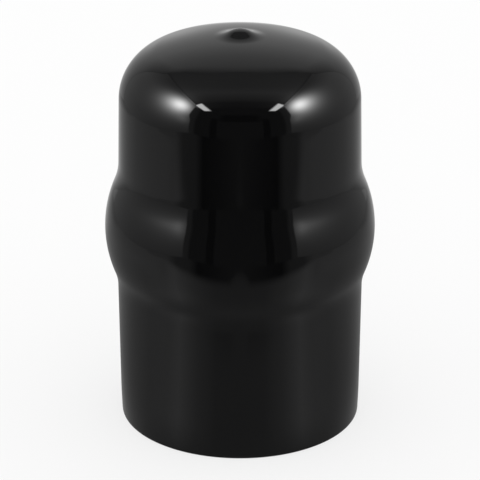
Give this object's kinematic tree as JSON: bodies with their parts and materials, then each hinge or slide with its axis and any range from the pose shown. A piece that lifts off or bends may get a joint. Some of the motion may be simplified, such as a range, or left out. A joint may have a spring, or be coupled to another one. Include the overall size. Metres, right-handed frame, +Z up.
{
  "type": "tow ball cover",
  "caption": "Dip-moulded vinyl cup with a domed closed crown, a mid-height bulge and a straight open skirt, pushed down over a tow ball to keep grease in and dirt off.",
  "frame": {"origin": "middle of the open rim's resting face", "axes": "+Z up along the cup's axis, from the open rim to the closed crown; the picture looks at it from -Y"},
  "size_m": [0.0584, 0.0584, 0.0876],
  "materials": {
    "vinyl": "gloss"
  },
  "bodies": {
    "root": {"ball_cover": "vinyl"}
  },
  "joints": []
}
